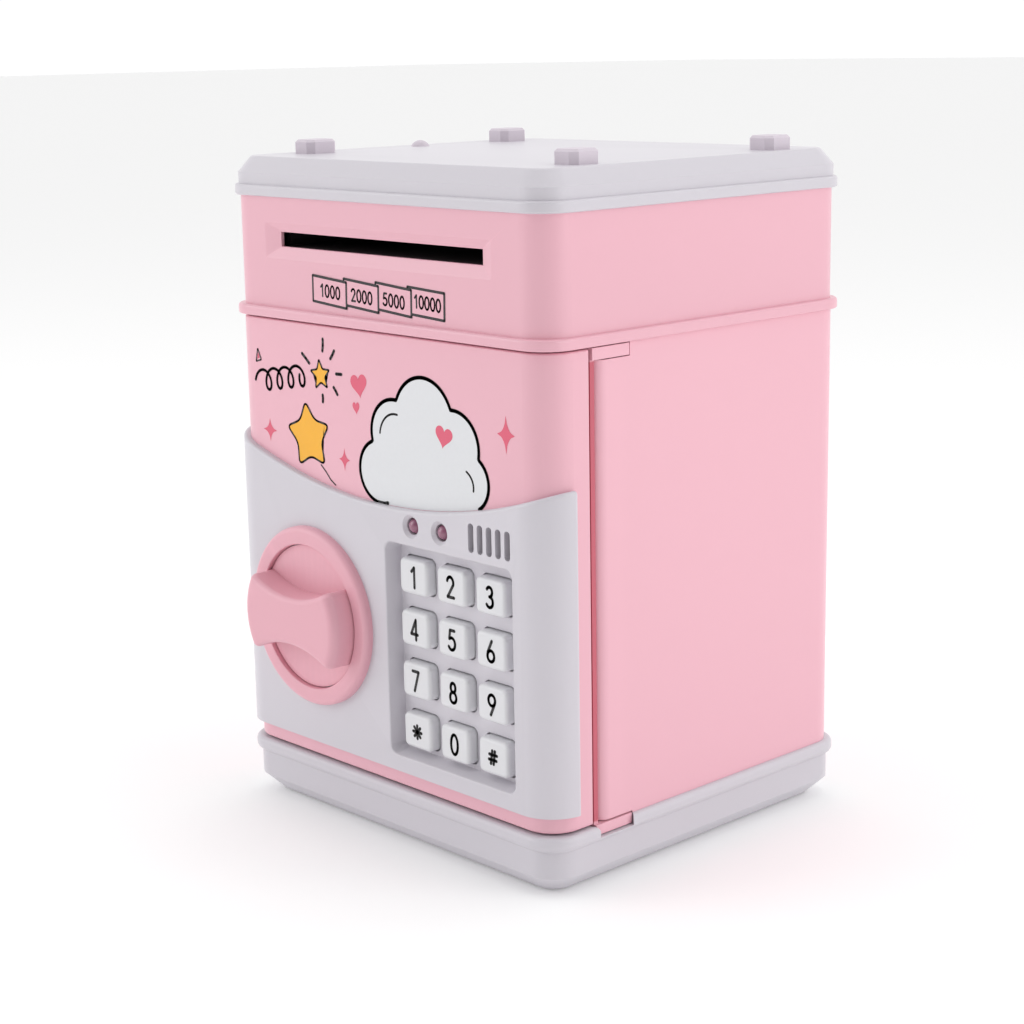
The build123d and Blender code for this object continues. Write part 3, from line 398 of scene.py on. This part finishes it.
# triangle
tri = [(-53.3, 128.4), (-50.9, 129.1), (-52.4, 132.2)]
ink += outline(scale(rounded(tri, 0.1)), 0.45)
rose.append((scale([(-52.7, 129.2), (-51.6, 129.6), (-52.3, 131.0)]), yd))
# hearts and sparkles
rose.append((scale(heart(-8.1, 126.0, 6.8, 6.4, 8)), yd))
rose.append((scale(heart(-9.6, 119.9, 2.9, 3.4, 4)), yd))
rose.append((scale(sparkle(-48.1, 109.5, 6.2, 6.6)), yd))
rose.append((scale(sparkle(-15.3, 105.2, 4.6, 6.4)), yd))
rose.append((scale(sparkle(48.7, 119.9, 6.4, 9.8)), yd))
# cloud rising behind the panel's top edge
blobs = [(-0.2, 103.9, 8.5), (6.0, 114.6, 9.4), (17.6, 119.6, 11.4), (29.0, 114.2, 9.6), (34.6, 105.8, 7.4)]
o_x, o_z = 16.7, 104.0
cloud = []
for k in range(181):
    a = math.radians(-34 + 248 * k / 180)
    dx, dz = math.cos(a), math.sin(a)
    best = 0.0
    for cx, cz, r in blobs:
        ex, ez = cx - o_x, cz - o_z
        b = ex * dx + ez * dz
        d = r * r - (ex * ex + ez * ez - b * b)
        if d > 0:
            best = max(best, b + math.sqrt(d))
    if best:
        x, z = o_x + best * dx, o_z + best * dz
        if z > (panel_top(x * S) + 0.15) / S:
            cloud.append((x, z))
ink += outline(scale(cloud), 1.05, closed=False)
x_r, x_l = cloud[0][0], cloud[-1][0]
base_line = [(x_l + (x_r - x_l) * k / 24, (panel_top((x_l + (x_r - x_l) * k / 24) * S) + 0.12) / S) for k in range(25)]
# the ground is a fan of triangles about the middle, so every face stays simple
ring = cloud + base_line
mid = (o_x, o_z)
for p, q in zip(ring, ring[1:] + ring[:1]):
    paper.append((scale([mid, p, q]), yd - 0.00002))
rose.append((scale(heart(25.4, 116.2, 6.6, 5.8, -10)), yd - 0.00005))
for arc_pts in [arc(6.4, 113.6, 6.4, 6.6, 172, 82, 14), arc(31.2, 104.6, 5.2, 4.6, 60, -10, 12)]:
    ink += outline(scale(arc_pts), 0.62, closed=False)
poly_mesh("print_yellow", yellow, YELL, "door")
poly_mesh("print_white", paper, PAPER, "door")
poly_mesh("print_rose", rose, ROSE, "door")
poly_mesh("print_ink", ink, INK, "door")

# ------------------------------------------------------------------ stage, light, camera
bpy.ops.mesh.primitive_plane_add(size=30, location=(0, 0, -0.00005))
floor = bpy.context.object
floor.name = "floor"
fm = bpy.data.materials.new("floor_white")
fm.use_nodes = True
fb = fm.node_tree.nodes["Principled BSDF"]
fb.inputs["Base Color"].default_value = (0.90, 0.90, 0.90, 1)
fb.inputs["Roughness"].default_value = 0.9
fn = fm.node_tree.nodes.new("ShaderNodeTexNoise")
fn.inputs["Scale"].default_value = 30
fr = fm.node_tree.nodes.new("ShaderNodeMapRange")
fr.inputs[3].default_value = 0.85
fr.inputs[4].default_value = 0.95
fm.node_tree.links.new(fn.outputs[0], fr.inputs[0])
fm.node_tree.links.new(fr.outputs[0], fb.inputs["Roughness"])
fb.inputs["Emission Color"].default_value = (1, 1, 1, 1)
fb.inputs["Emission Strength"].default_value = 0.11
floor.data.materials.append(fm)

bpy.context.scene.view_settings.view_transform = "Standard"
world = bpy.data.worlds.new("studio")
bpy.context.scene.world = world
world.use_nodes = True
wt = world.node_tree
bg = wt.nodes["Background"]
wc = wt.nodes.new("ShaderNodeTexCoord")
dark = wt.nodes.new("ShaderNodeVectorMath")
dark.operation = "DOT_PRODUCT"
dark.inputs[1].default_value = (0.70, -0.66, 0.27)
wt.links.new(wc.outputs["Generated"], dark.inputs[0])
wr = wt.nodes.new("ShaderNodeMapRange")
wr.interpolation_type = "SMOOTHSTEP"
wr.inputs[1].default_value = 0.35
wr.inputs[2].default_value = 0.92
wr.inputs[3].default_value = 1.03
wr.inputs[4].default_value = 0.30
wt.links.new(dark.outputs["Value"], wr.inputs[0])
wt.links.new(wr.outputs[0], bg.inputs[1])
bg.inputs[0].default_value = (1.0, 1.0, 1.0, 1)


def area(name, loc, target, size, power, color=(1, 1, 1)):
    l = bpy.data.lights.new(name, "AREA")
    l.shape = "RECTANGLE"
    l.size, l.size_y = size
    l.energy = power
    l.color = color
    o = bpy.data.objects.new(name, l)
    bpy.context.scene.collection.objects.link(o)
    o.location = loc
    o.rotation_mode = "QUATERNION"
    o.rotation_quaternion = (Vector(target) - Vector(loc)).to_track_quat("-Z", "Y")
    return o


area("key_right", (0.95, 0.25, 0.55), (0, 0, 0.09), (0.7, 0.9), 3.1)
area("fill_front", (-0.75, -0.85, 0.55), (0, 0, 0.09), (0.7, 0.8), 3.0)
area("top", (0.0, 0.1, 1.1), (0, 0, 0.1), (0.9, 0.9), 1.2)

C = Vector((428.145, -413.762 + SY, 219.173)) * mm
fwd = Vector((-0.71002, 0.66894, -0.21997)).normalized()
up = Vector((-0.14766, 0.164, 0.97535))
right = fwd.cross(up).normalized()
up = right.cross(fwd).normalized()
cam = bpy.data.cameras.new("camera")
co = bpy.data.objects.new("camera", cam)
bpy.context.scene.collection.objects.link(co)
co.matrix_world = Matrix(((right.x, up.x, -fwd.x, C.x), (right.y, up.y, -fwd.y, C.y), (right.z, up.z, -fwd.z, C.z), (0, 0, 0, 1)))
cam.sensor_width = 36.0
cam.lens = 2095.56 / 1024 * 36.0
cam.clip_start, cam.clip_end = 0.01, 20
bpy.context.scene.camera = co
